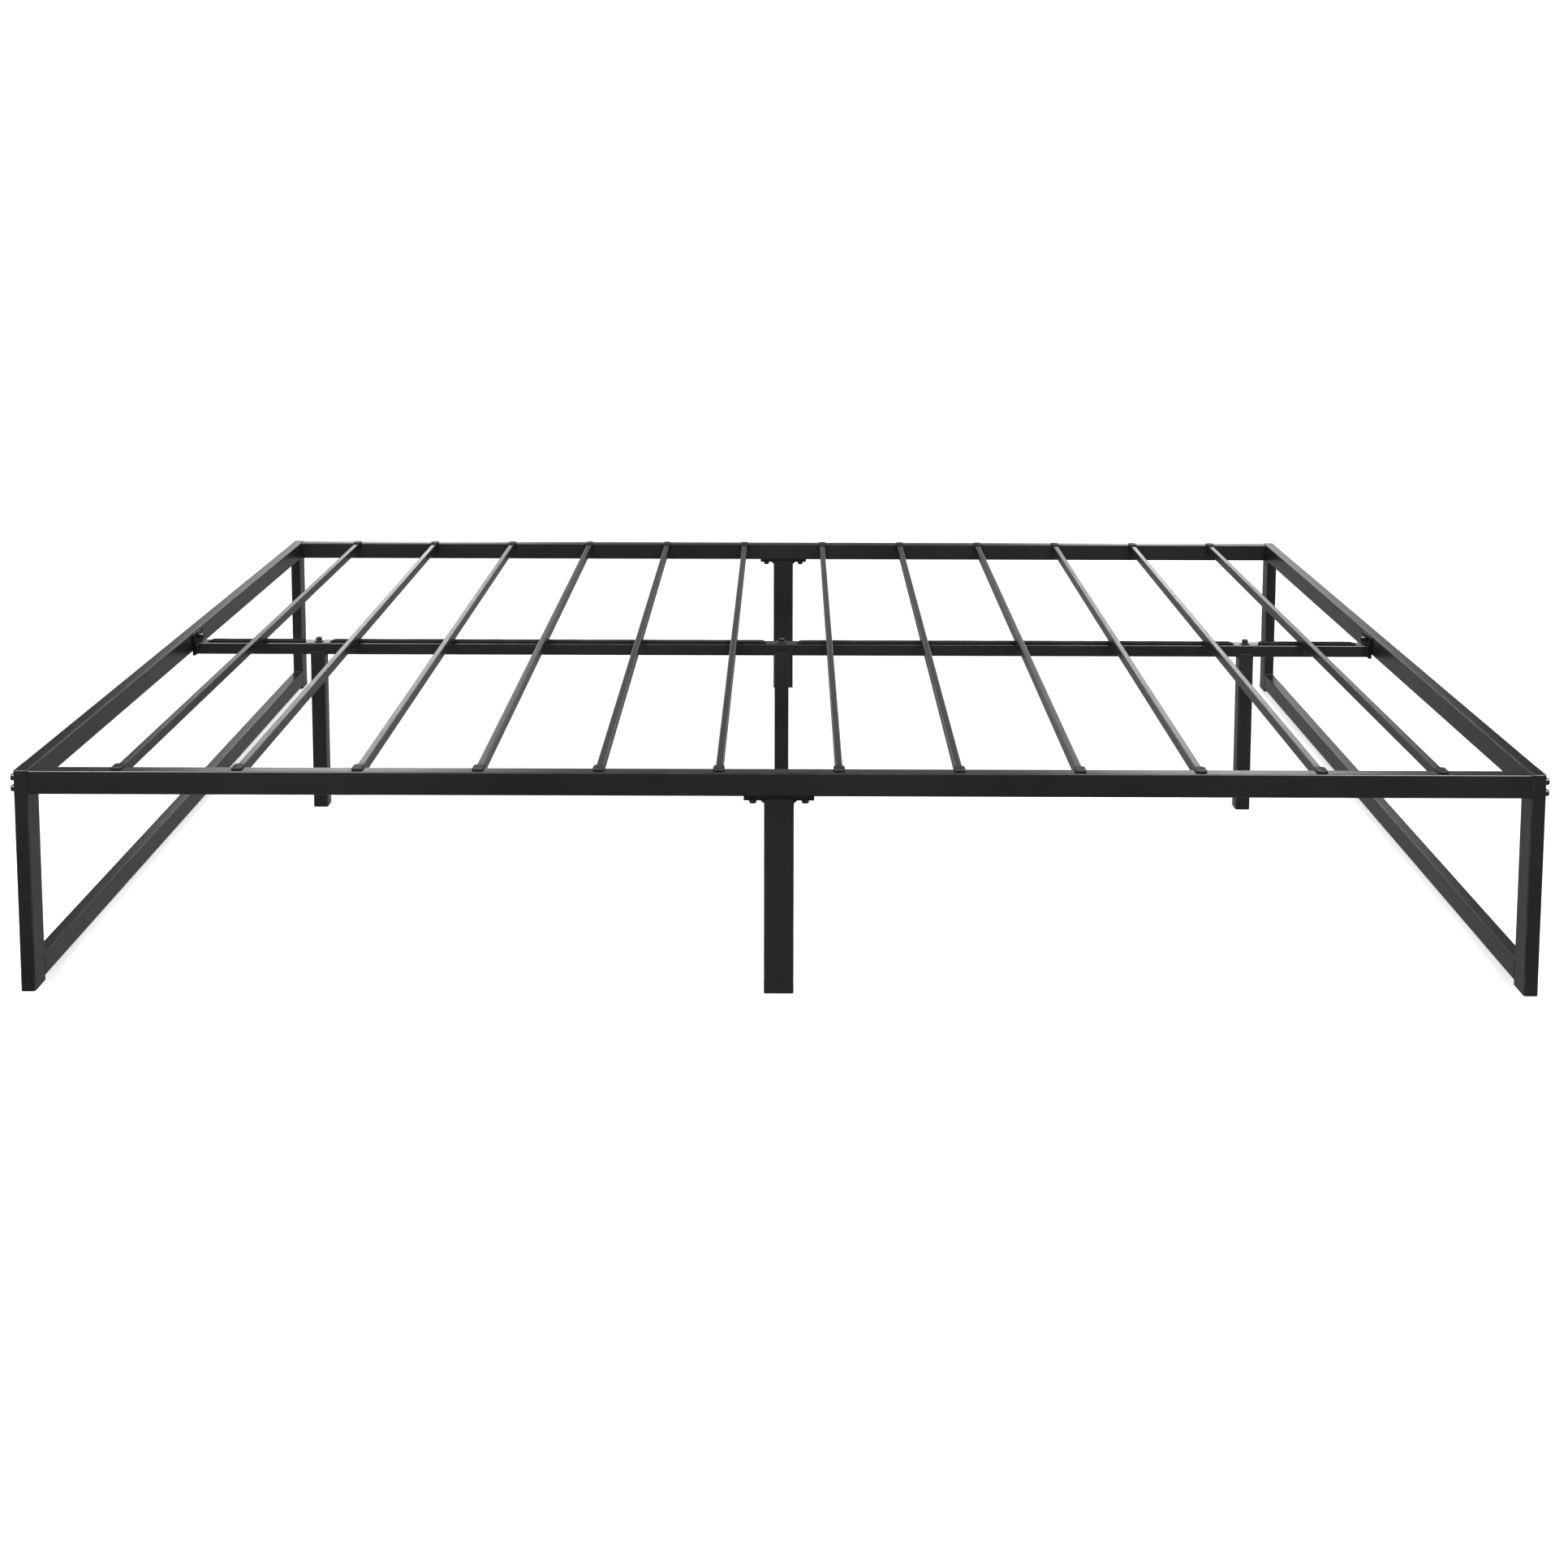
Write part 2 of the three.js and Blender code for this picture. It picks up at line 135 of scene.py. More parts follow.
# Local (across, deep, along) coordinates to the row frame, with the length along the named axis
def turnedTo(axis, points):
    order = axisOrder[axis]
    placed = np.empty_like(points)
    for k in range(3):
        placed[..., order[k]] = points[..., k]
    return placed


# A round-cornered rectangle of the given width, depth and corner radius at each station:
# corner k is at (+-(w/2 - r), +-(d/2 - r)), plus r (cos, sin) of an angle over a quarter turn.
# Wear is the edge mask that lightens edges, for real rubbed wear and a painted highlight: sin(pi t) round
# each corner, or the station's own rim wear where that is more.
def sweptSection(stations, widths, depths, radii, rimWear, steps=5):
    t = np.linspace(0, 1, steps + 1)
    angle = (np.arange(4)[:, None] + t) * math.pi / 2
    signU = np.array([1, -1, -1, 1])[:, None]
    signV = np.array([1, 1, -1, -1])[:, None]
    w, d, r, s, rim = (
        np.asarray(a, float)[:, None, None] for a in (widths, depths, radii, stations, rimWear)
    )
    u = signU * (w / 2 - r) + r * np.cos(angle)
    v = signV * (d / 2 - r) + r * np.sin(angle)
    rings = np.stack([u, v, s + 0 * u], -1).reshape(len(w), -1, 3)
    wear = np.maximum(np.sin(math.pi * t) + 0 * u, rim + 0 * u).reshape(len(w), -1)
    return rings, wear


# Stations of a bar whose ends are rounded by a quarter circle: near an end the section is inset by
# rim (1 - sin) while the station moves rim (1 - cos). Inset runs the other way at the far end.
def rimStations(length, rims, steps=3):
    t = np.linspace(0, math.pi / 2, steps + 1)
    stations = np.append(rims[0] * (1 - np.cos(t)), length - rims[1] * (1 - np.sin(t)))
    insets = np.append(rims[0] * (1 - np.sin(t)), rims[1] * (1 - np.cos(t)))
    return stations, insets, np.tile(np.sin(2 * t), 2)


# A solid bar that fills a box
def barShell(low, high, axis, radius, rims, steps=5):
    order = axisOrder[axis]
    low, high = np.array(low), np.array(high)
    width, depth, length = (high - low)[list(order)]
    stations, insets, rimWear = rimStations(length, rims)
    radii = np.maximum(radius - insets, sharpestEdge["bar"])
    rings, wear = sweptSection(
        stations, width - 2 * insets, depth - 2 * insets, radii, rimWear, steps
    )
    middle = ((low + high) / 2)[list(order)]
    rings = rings + np.array([middle[0], middle[1], low[order[2]]])
    return closedShell(turnedTo(axis, rings), wear)


# A tube with a real wall that fills a box: out along its outside and back along its bore.
# With a lid, the bore stops a wall short of the far end, and both ends of the rings are closed by fans.
def tubeShell(low, high, axis, radius, wall, lid=False, rim=fineRim, lidRim=1.5 * mm, boreWear=0.5):
    order = axisOrder[axis]
    low, high = np.array(low), np.array(high)
    width, depth, length = (high - low)[list(order)]
    stations, insets, rimWear = rimStations(length, (rim, lidRim if lid else rim))
    boreEnd = length - wall if lid else length - rim
    stations = np.concatenate([stations[::-1], [rim, boreEnd]])
    insets = np.concatenate([insets[::-1], [wall, wall]])
    rimWear = np.append(rimWear[::-1], [0, 0])
    if not lid:
        stations = np.append(stations, length)
        insets = np.append(insets, wall - rim)
        rimWear = np.append(rimWear, boreWear)
    radii = np.maximum(radius - insets, sharpestEdge["bore"])
    rings, wear = sweptSection(stations, width - 2 * insets, depth - 2 * insets, radii, rimWear)
    middle = ((low + high) / 2)[list(order)]
    rings = turnedTo(axis, rings + np.array([middle[0], middle[1], low[order[2]]]))
    return closedShell(rings, wear) if lid else loopedShell(rings, wear)


# A turned form whose section may pass from round to six-sided: the radius at an angle is
# r (1 - k + k cos 30 / cos(angle mod 60 - 30)), with k the six-sided share of each row.
# A profile's rows are radius, height, six-sided share and wear.
def turnedShell(profile, sides, closed=True):
    radius, height, share, wear = np.array(profile, float).T[:, :, None]
    angle = np.arange(sides) / sides * 2 * math.pi
    hexagon = math.cos(math.pi / 6) / np.cos(angle % (math.pi / 3) - math.pi / 6)
    reach = radius * (1 - share + share * hexagon)
    rings = np.stack([reach * np.cos(angle), reach * np.sin(angle), height + 0 * reach], -1)
    shell = closedShell if closed else loopedShell
    return shell(rings, wear + 0 * reach)


# A threaded shank: the radius drops by the thread's depth times a triangle wave of (height / pitch - angle)
def threadShell(radius, start, end, pitch, depth, sides=14, rowsPerTurn=4):
    height = np.arange(start, end, pitch / rowsPerTurn)[:, None]
    angle = np.arange(sides) / sides * 2 * math.pi
    wave = np.abs(((height / pitch - angle / (2 * math.pi)) % 1) * 2 - 1)
    reach = radius - depth * wave
    rings = np.stack([reach * np.cos(angle), reach * np.sin(angle), height + 0 * reach], -1)
    return closedShell(rings, 0 * reach)


# Turned pieces stand on +Z; a unit direction of their own puts them in place
def seated(shells, seat, direction):
    z = np.array(direction, float)
    x = np.cross(offAxis, z)
    x /= np.linalg.norm(x)
    turn = np.stack([x, np.cross(z, x), z])
    return [(points @ turn + np.array(seat), quads, wear) for points, quads, wear in shells]


bead = {
    "sides": 12, "rowsPerDrop": 5, "fewestRows": 12, "end": 0.995, "drift": 0.12, "driftPoints": 6,
    "widthDrift": 0.5, "bow": 0.35, "swell": 0.1, "wear": 0.25,
}


# A weld bead carried along a path: its section is an oval, its height swells as a row of overlapping
# drops, each drop's front bows forward, and both ends taper as the root of 1 - s^4.
def beadShell(path, outward, width, height, pitch, seed):
    path = np.array(path, float)
    outward = np.array(outward, float)
    outward = outward / np.linalg.norm(outward)
    length = np.linalg.norm(path[1] - path[0])
    along = (path[1] - path[0]) / length
    side = np.cross(outward, along)
    rows = max(bead["fewestRows"], int(length / pitch * bead["rowsPerDrop"]))
    s = np.linspace(-bead["end"], bead["end"], rows)[:, None]
    angle = np.arange(bead["sides"]) / bead["sides"] * 2 * math.pi
    points = bead["driftPoints"]
    drawn = np.random.default_rng(seed).uniform(-bead["drift"], bead["drift"], points)
    drift = np.interp(np.linspace(0, 1, rows), np.linspace(0, 1, points), drawn)[:, None]
    taper = (1 - s**4) ** 0.5
    phase = (s * length / 2 + bead["bow"] * pitch * np.sin(angle)) / pitch * 2 * math.pi
    swell = 1 + bead["swell"] * np.cos(phase) + drift
    across = width / 2 * np.cos(angle) * taper * (1 + bead["widthDrift"] * drift)
    proud = height * np.sin(angle) * taper * swell
    middle = (path[0] + path[1]) / 2
    rings = (
        middle
        + s[..., None] * length / 2 * along
        + across[..., None] * side
        + proud[..., None] * outward
    )
    return closedShell(rings, bead["wear"] * np.maximum(np.sin(angle), 0) + 0 * across)


# A socket takes either another node's output or a fixed value
def feed(tree, socket, value):
    if isinstance(value, bpy.types.NodeSocket):
        tree.links.new(value, socket)
    else:
        socket.default_value = value


def newTree(name):
    material = bpy.data.materials.new(name)
    material.use_nodes = True
    tree = material.node_tree
    return material, tree, tree.nodes["Principled BSDF"]


def addNode(tree, kind, settings=None, **inputs):
    node = tree.nodes.new(kind)
    for key, value in (settings or {}).items():
        setattr(node, key, value)
    for key, value in inputs.items():
        feed(tree, node.inputs[key.replace("_", " ")], value)
    return node


def noiseOf(tree, where, size, detail=3.0, rough=0.55):
    return addNode(
        tree, "ShaderNodeTexNoise", None, Vector=where, Scale=1 / size, Detail=detail, Roughness=rough
    ).outputs["Fac"]


def ranged(tree, value, low, high, toLow, toHigh):
    node = addNode(tree, "ShaderNodeMapRange", {"interpolation_type": "SMOOTHSTEP"})
    tree.links.new(value, node.inputs["Value"])
    for key, number in zip(("From Min", "From Max", "To Min", "To Max"), (low, high, toLow, toHigh)):
        node.inputs[key].default_value = number
    return node.outputs["Result"]


def product(tree, a, b, operation="MULTIPLY"):
    node = tree.nodes.new("ShaderNodeMath")
    node.operation = operation
    node.use_clamp = operation == "ADD"
    feed(tree, node.inputs[0], a)
    feed(tree, node.inputs[1], b)
    return node.outputs["Value"]


def blended(tree, share, first, second):
    node = addNode(tree, "ShaderNodeMix", {"data_type": "RGBA"})
    tree.links.new(share, node.inputs["Factor"])
    for socket, value in ((node.inputs[6], first), (node.inputs[7], second)):
        feed(tree, socket, (*value, 1) if isinstance(value, tuple) else value)
    return node.outputs[2]


# Where each texture starts and ends in every finish
mixing = {
    "cloud": (0.3, 0.7), "speck": (0.62, 0.74), "edge": (0.35, 1), "patch": (0.42, 0.66), "leastWear": 0.15,
    "roughPatch": (0.25, 0.75), "wearPolish": -0.12,
}


# Every finish here is a cloudy colour, a roughness that wanders, a fine bump made of two textures,
# and rubbed edges where the piece's own edge attribute and a patchy noise agree. The lighter edge colour
# is partly real wear and partly a painted highlight along the rounded edges.
def finishOf(name, look):
    material, tree, shader = newTree(name)
    where = addNode(tree, "ShaderNodeTexCoord").outputs["Object"]
    cloud = noiseOf(tree, where, look["cloudSize"])
    speck = noiseOf(tree, where, look["speckSize"], detail=2.0)
    patch = noiseOf(tree, where, look["patchSize"], detail=4.0, rough=0.65)
    peel = noiseOf(tree, where, look["peelSize"], detail=2.0)
    cells = addNode(
        tree, "ShaderNodeTexVoronoi", {"feature": "SMOOTH_F1"}, Vector=where, Scale=1 / look["grainSize"]
    ).outputs["Distance"]
    colour = blended(tree, ranged(tree, cloud, *mixing["cloud"], 0, 1), look["dark"], look["light"])
    specked = ranged(tree, speck, *mixing["speck"], 0, look["speckShare"])
    colour = blended(tree, specked, colour, look["speck"])
    edge = addNode(tree, "ShaderNodeAttribute", {"attribute_name": "edgeWearAndHighlight"}).outputs["Fac"]
    patchy = ranged(tree, patch, *mixing["patch"], mixing["leastWear"], 1)
    # Painted highlight: the lighter colour on the edges stands partly for light caught on the rounded
    # edges, partly for real wear
    rubbedAndHighlit = product(tree, ranged(tree, edge, *mixing["edge"], 0, 1), patchy)
    rubbedAndHighlit = product(tree, rubbedAndHighlit, look["wearAndHighlightShare"])
    colour = blended(tree, rubbedAndHighlit, colour, look["wornAndHighlit"])
    rough = ranged(tree, patch, *mixing["roughPatch"], *look["roughness"])
    rough = product(tree, rough, product(tree, rubbedAndHighlit, mixing["wearPolish"]), "ADD")
    tree.links.new(colour, shader.inputs["Base Color"])
    tree.links.new(rough, shader.inputs["Roughness"])
    height = product(tree, product(tree, peel, look["peel"]), product(tree, cells, look["grain"]), "ADD")
    bump = addNode(
        tree, "ShaderNodeBump", None, Height=height, Distance=look["bumpDepth"], Strength=look["bump"]
    )
    tree.links.new(bump.outputs["Normal"], shader.inputs["Normal"])
    shader.inputs["Metallic"].default_value = look["metallic"]
    shader.inputs["Specular IOR Level"].default_value = look["specular"]
    shader.inputs["Coat Weight"].default_value = look["coat"]
    shader.inputs["Coat Roughness"].default_value = look["coatRoughness"]
    shader.inputs["Sheen Weight"].default_value = look["sheen"]
    return material


# Satin black powder coat with a soft orange peel; its lighter edge colour is partly wear and partly a
# painted highlight
coatLook = {
    "dark": (0.0052, 0.0053, 0.0055), "light": (0.008, 0.0081, 0.0084), "cloudSize": 0.23,
    "speck": (0.03, 0.03, 0.031), "speckSize": 0.9 * mm, "speckShare": 0.4,
    "wornAndHighlit": (0.042, 0.042, 0.044), "wearAndHighlightShare": 0.35, "patchSize": 34 * mm,
    "roughness": (0.29, 0.33), "peelSize": 1.8 * mm, "peel": 0.6, "grainSize": 0.5 * mm, "grain": 0.4,
    "bumpDepth": 0.04 * mm, "bump": 0.5, "metallic": 0.0, "specular": 0.42, "coat": 0.0,
    "coatRoughness": 0.2, "sheen": 0.0,
}
# Black zinc on the fasteners: glossy, a little brown where it is thin
zincLook = {
    "dark": (0.008, 0.008, 0.009), "light": (0.021, 0.02, 0.019), "cloudSize": 4 * mm,
    "speck": (0.06, 0.058, 0.055), "speckSize": 0.6 * mm, "speckShare": 0.4,
    "wornAndHighlit": (0.2, 0.19, 0.18), "wearAndHighlightShare": 0.55, "patchSize": 3 * mm,
    "roughness": (0.14, 0.27), "peelSize": 1.2 * mm, "peel": 0.5, "grainSize": 0.3 * mm, "grain": 0.3,
    "bumpDepth": 0.02 * mm, "bump": 0.4, "metallic": 0.55, "specular": 0.6, "coat": 0.35,
    "coatRoughness": 0.12, "sheen": 0.0,
}
# Moulded black plastic with a fine spark-eroded texture
plasticLook = {
    "dark": (0.0042, 0.0042, 0.0043), "light": (0.0065, 0.0065, 0.0066), "cloudSize": 30 * mm,
    "speck": (0.02, 0.02, 0.02), "speckSize": 0.7 * mm, "speckShare": 0.3,
    "wornAndHighlit": (0.035, 0.035, 0.035), "wearAndHighlightShare": 0.6, "patchSize": 6 * mm,
    "roughness": (0.4, 0.54), "peelSize": 0.8 * mm, "peel": 0.4, "grainSize": 0.35 * mm, "grain": 0.6,
    "bumpDepth": 0.05 * mm, "bump": 0.7, "metallic": 0.0, "specular": 0.26, "coat": 0.0,
    "coatRoughness": 0.3, "sheen": 0.0,
}
# Closed-cell foam tape: matt, with open cells where it was slit
foamLook = {
    "dark": (0.0014, 0.0014, 0.0015), "light": (0.003, 0.003, 0.0031), "cloudSize": 45 * mm,
    "speck": (0.0005, 0.0005, 0.0005), "speckSize": 0.8 * mm, "speckShare": 0.75,
    "wornAndHighlit": (0.012, 0.012, 0.012), "wearAndHighlightShare": 0.4, "patchSize": 5 * mm,
    "roughness": (0.82, 0.96), "peelSize": 3.5 * mm, "peel": 0.35, "grainSize": 0.7 * mm, "grain": 0.65,
    "bumpDepth": 0.22 * mm, "bump": 0.9, "metallic": 0.0, "specular": 0.06, "coat": 0.0,
    "coatRoughness": 0.5, "sheen": 0.03,
}
# The bolted-on plates have a flatter coat than the tubes, and a darker colour that is painted shade: a
# shaded copy of the tube coat
plateShadeLook = {
    **coatLook, "dark": (0.0018, 0.0018, 0.0019), "light": (0.003, 0.003, 0.0031),
    "roughness": (0.38, 0.46), "specular": 0.15, "wornAndHighlit": (0.02, 0.02, 0.021),
}
coat = finishOf("satinPowderCoat", coatLook)
# Painted shade: the plates take the tube coat darkened, to stand for the shade they sit in
plateShadeCoat = finishOf("flatPowderCoatPaintedShade", plateShadeLook)
zinc = finishOf("blackZinc", zincLook)
plastic = finishOf("mouldedPlastic", plasticLook)
foam = finishOf("foamTape", foamLook)
print("finishes made")


tubes = {
    "wall": 1.2 * mm, "radius": 2.2 * mm, "legRadius": 2.6 * mm, "slatRadius": 1.6 * mm, "overlap": 3 * mm,
}
welds = {
    "pitch": 1.7 * mm, "seamWidth": 3.6 * mm, "seamHeight": 0.5 * mm, "filletWidth": 4.2 * mm,
    "groundShare": 0.2,  # height left on the outer seams, which are ground
    "seamInset": 1.6 * mm, "filletHeight": 1.3 * mm, "filletInset": 2 * mm, "filletSink": 0.2 * mm,
}
# Where the random draws of each group of beads start
seeds = {"top": 20, "bottom": 50, "perEnd": 60, "fillet": 7, "bracket": 140, "middle": 170}


def corners(node):
    low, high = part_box(node)
    return np.array(low), np.array(high)


# A seam runs down each flush face between a leg and a rail, and a fillet lies in each inside corner
def endWelds(end, railTag, inside, seed):
    shells = []
    low, high = corners(f"{end}_end_{railTag}_rail")
    towardBed = -1 if low[0] > 0 else 1
    for side in (-1, 1):
        y = side * (high[1] + contactGap / 2)
        z = (low[2] + welds["seamInset"], high[2] - welds["seamInset"])
        for face, proud in ((towardBed, 1.0), (-towardBed, welds["groundShare"])):
            x = high[0] if face > 0 else low[0]
            shells.append(
                beadShell(
                    [(x, y, z[0]), (x, y, z[1])], (face, 0, 0), welds["seamWidth"],
                    welds["seamHeight"] * proud, welds["pitch"], seed + len(shells),
                )
            )
        inset = welds["filletInset"]
        for z0, up in inside(low[2] + welds["filletSink"], high[2] - welds["filletSink"]):
            shells.append(
                beadShell(
                    [(low[0] + inset, y, z0), (high[0] - inset, y, z0)], (0, -side, up),
                    welds["filletWidth"], welds["filletHeight"], welds["pitch"],
                    seed + seeds["fillet"] + len(shells),
                )
            )
    return shells


bracket = {
    "radius": 3 * mm, "rim": 0.5 * mm, "weldBottom": 1.5 * mm, "weldTop": 1 * mm, "weldHeight": 1.5 * mm,
}
sideRun = 0.01 * mm  # where a rail runs into a leg, its sides stand a hair proud of the leg's

for endNumber, end in enumerate(("left", "right")):
    for side in ("front", "back"):
        node = f"{end}_{side}_leg"
        low, high = corners(node)
        leg = tubeShell(low, high, "z", tubes["legRadius"], tubes["wall"], True)
        putPiece(f"{end}_{side}_leg_tube", [leg], coat, "powder_coat", node)
    for rail in ("top", "bottom"):
        node = f"{end}_end_{rail}_rail"
        # The rail runs a little way into both legs, so that a ground weld shows no gap on top
        run = np.array([sideRun, tubes["overlap"], sideRun])
        low, high = corners(node)
        shell = tubeShell(low - run, high + run, "y", tubes["radius"], tubes["wall"])
        putPiece(f"{node}_tube", [shell], coat, "powder_coat", node)
    seedStep = seeds["perEnd"] * endNumber
    beads = endWelds(end, "top", lambda under, over: [(under, -1)], seeds["top"] + seedStep)
    beads += endWelds(
        end, "bottom", lambda under, over: [(over, 1), (under, -1)], seeds["bottom"] + seedStep
    )
    putPiece(f"{end}_end_welds", beads, coat, "powder_coat")
    node = f"{end}_centre_bracket"
    low, high = corners(node)
    plate = barShell(low, high, "x", bracket["radius"], (bracket["rim"], bracket["rim"]))
    putPiece(f"{node}_plate", [plate], plateShadeCoat, "powder_coat", node)
    railLow, railHigh = corners("centre_rail")
    face = high[0] if low[0] < 0 else low[0]
    into = 1 if low[0] < 0 else -1
    weldEnds = (railLow[2] + bracket["weldBottom"], railHigh[2] - bracket["weldTop"])
    beads = [
        beadShell(
            [(face, side * railHigh[1], z) for z in weldEnds], (into, side, 0), welds["filletWidth"],
            bracket["weldHeight"], welds["pitch"], seeds["bracket"] + 2 * endNumber + side,
        )
        for side in (-1, 1)
    ]
    putPiece(f"{end}_bracket_welds", beads, coat, "powder_coat")

for node in ("front_side_rail", "back_side_rail", "centre_rail"):
    shell = tubeShell(*corners(node), "x", tubes["radius"], tubes["wall"])
    putPiece(f"{node}_tube", [shell], coat, "powder_coat", node)
print("end frames, side rails and centre rail made")


middle = {
    "legWidth": 40 * mm, "plate": 5 * mm, "plateRadius": 1.5 * mm, "plateRim": 0.5 * mm,
    "weldInset": 3 * mm, "weldWidth": 2.4 * mm, "weldHeight": 0.35 * mm,
}
gusset = {
    "size": 4.3 * mm, "inset": 2 * mm, "rim": 0.5 * mm, "inLeg": 1 * mm, "inPlate": 0.4 * mm,
    "lip": 0.7 * mm, "toe": 0.6 * mm, "endShare": 0.9, "wear": 0.3,
}


# A gusset is a wedge carried along Y: its section has a lip under the plate and a toe on the leg, with
# a slope between them, and it shrinks a little at both ends
def gussetShell(x, sign, y0, y1, z):
    size, rim, inLeg, inPlate = (gusset[key] for key in ("size", "rim", "inLeg", "inPlate"))
    lip, toe = gusset["lip"], gusset["toe"]
    outline = np.array([[-inLeg, inPlate], [size, inPlate], [size, -lip], [toe, -size], [-inLeg, -size]])
    centre = outline.mean(0)
    stations = np.array([y0, y0 + rim, y1 - rim, y1])
    shrink = np.array([gusset["endShare"], 1, 1, gusset["endShare"]])
    section = centre + (outline - centre) * shrink[:, None, None]
    rings = np.stack(
        [x + sign * section[..., 0], stations[:, None] + 0 * section[..., 0], z + section[..., 1]], -1
    )
    return closedShell(rings, gusset["wear"] + 0 * rings[..., 0])


for side in ("front", "back"):
    node = f"{side}_middle_leg"
    low, high = corners(node)
    half = middle["legWidth"] / 2
    plateBottom = high[2] - middle["plate"]
    leg = tubeShell(
        (-half, low[1], low[2]), (half, high[1], plateBottom), "z", tubes["legRadius"], tubes["wall"]
    )
    plate = barShell(
        (low[0], low[1], plateBottom), high, "z", middle["plateRadius"],
        (middle["plateRim"], middle["plateRim"]),
    )
    inset = gusset["inset"]
    gussets = [
        gussetShell(sign * half, sign, low[1] + inset, high[1] - inset, plateBottom) for sign in (-1, 1)
    ]
    putPiece(f"{side}_middle_leg_tube", [leg, *gussets], coat, "powder_coat", node)
    putPiece(f"{side}_middle_leg_plate", [plate], plateShadeCoat, "powder_coat", node)
    reach = half - middle["weldInset"]
    beads = [
        beadShell(
            [(-reach, y, plateBottom), (reach, y, plateBottom)], (0, out, 0),
            middle["weldWidth"], middle["weldHeight"], welds["pitch"], seeds["middle"] + out,
        )
        for y, out in ((low[1], -1), (high[1], 1))
    ]
    putPiece(f"{side}_middle_leg_welds", beads, coat, "powder_coat")
print("middle legs made")


centreLeg = {
    "notch": 9.5 * mm, "earRound": 4 * mm, "saddle": 4 * mm, "saddleRadius": 1 * mm,
    "lip": 0.25 * mm, "lipDrop": 0.3 * mm, "rimWear": 0.8, "steps": 8, "columnsPerStep": 6,
}


# A tube whose rim stays up on its front and back walls and is lower by the notch on its side walls.
# Along an ear's side edge the rim falls by earRound (1 - root(1 - (1 - e)^2)), with e the distance in
# from the edge over earRound, so that the ear's corners are rounded.
def earedShell(low, high, radius, wall, notch, earRound):
    width, depth, _ = high - low
    lip, lipDrop = centreLeg["lip"], centreLeg["lipDrop"]
    insets = np.array([0, 0, 0, lip, wall - lip, wall, wall, wall - fineRim, fineRim])
    share = np.array([0, 0.5, 1, 1, 1, 1, 0.5, 0, 0])
    drop = np.array([0, 0, lipDrop, 0, 0, lipDrop, 0, 0, 0])
    foot = np.array([fineRim, 0, 0, 0, 0, 0, 0, 0, 0])
    radii = np.maximum(radius - insets, sharpestEdge["eared"])
    rings, wear = sweptSection(
        0 * insets, width - 2 * insets, depth - 2 * insets, radii, 0 * insets, centreLeg["steps"]
    )
    # Extra columns on the walls, so that the ear's rounded corners have points to bend at
    columns = rings.shape[1]
    fine = centreLeg["columnsPerStep"]
    t = (np.arange(columns * fine) / fine)[None, :]
    left = np.floor(t).astype(int) % columns
    part = (t % 1)[..., None]
    rings = rings[:, left[0]] * (1 - part) + rings[:, (left[0] + 1) % columns] * part
    wear = wear[:, left[0]] * (1 - part[..., 0]) + wear[:, (left[0] + 1) % columns] * part[..., 0]
    # Distance of a point in from the ear's side edge, along the front or back wall
    fromEdge = width / 2 - np.abs(rings[..., 0])
    onSideWall = np.abs(rings[..., 1]) < depth / 2 - radius
    ease = np.clip(fromEdge / earRound, 0, 1)
    rounded = np.sqrt(np.clip(1 - (1 - ease) ** 2, 0, 1))
    top = high[2] - np.where(onSideWall, notch, (1 - rounded) * earRound)
    bottom = low[2] + foot[:, None]
    z = bottom + (top - drop[:, None] - bottom) * share[:, None]
    middle = (low + high) / 2
    rings = np.stack([rings[..., 0] + middle[0], rings[..., 1] + middle[1], z], -1)
    onRim = (share[:, None] == 1) & (insets[:, None] < wall)
    return loopedShell(rings, np.maximum(wear, centreLeg["rimWear"] * onRim))


for place in ("left", "middle", "right"):
    node = f"{place}_centre_leg"
    low, high = corners(node)
    leg = earedShell(
        low, high, tubes["radius"], tubes["wall"], centreLeg["notch"], centreLeg["earRound"]
    )
    railBottom = corners("centre_rail")[0][2]
    wall = tubes["wall"]
    saddleTop = railBottom - contactGap
    saddle = barShell(
        (low[0] + wall, low[1] + wall, saddleTop - centreLeg["saddle"]),
        (high[0] - wall, high[1] - wall, saddleTop), "z", centreLeg["saddleRadius"], (fineRim, fineRim),
    )
    putPiece(f"{node}_tube", [leg, saddle], coat, "powder_coat", node)
print("centre legs made")


plugs = {
    "flange": 2 * mm, "rim": 0.6 * mm, "innerRim": 0.2 * mm, "insertInset": 2 * mm,
    "insertRadius": 1 * mm, "insertWall": 1.4 * mm, "overlap": 0.3 * mm,
}
for node in sorted(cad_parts):
    if node.endswith("foot_plug"):
        low, high = corners(node)
        top = high.copy()
        top[2] = low[2] + plugs["flange"]
        inset = np.array([plugs["insertInset"], plugs["insertInset"], 0])
        flange = barShell(low, top, "z", tubes["legRadius"], (plugs["rim"], plugs["innerRim"]))
        bottom = low + inset
        bottom[2] = top[2] - plugs["overlap"]
        insert = tubeShell(bottom, high - inset, "z", plugs["insertRadius"], plugs["insertWall"])
        putPiece(f"{node}_cap", [flange, insert], plastic, "black_plastic", node)
print("foot plugs made")


slats = {"count": 12, "width": 10 * mm, "height": 15 * mm, "tubeReach": 731 * mm}
caps = {
    "back": 729.6 * mm, "height": 18 * mm, "radius": 1.1 * mm, "tubeTopGap": 0.35 * mm,
    "tabBack": 733 * mm, "tabWidth": 15.6 * mm, "tab": 2.4 * mm, "tabRadius": 4.2 * mm,
    "tabLeastRadius": 1 * mm, "tabRound": 1.5 * mm, "tabUnderRim": 0.5 * mm, "tabUnderRise": 0.3 * mm,
    "tabSide": 0.35,  # share of the tab's height that is upright
    "crown": 0.45 * mm,
    "pegPlace": 751 * mm, "pegRadius": 2.9 * mm, "pegLength": 7 * mm, "pegTip": 2.3 * mm,
    "pegTaper": 1.5 * mm, "pegInTab": 0.6 * mm, "pegBore": 0.4 * mm, "pegSides": 16,
}
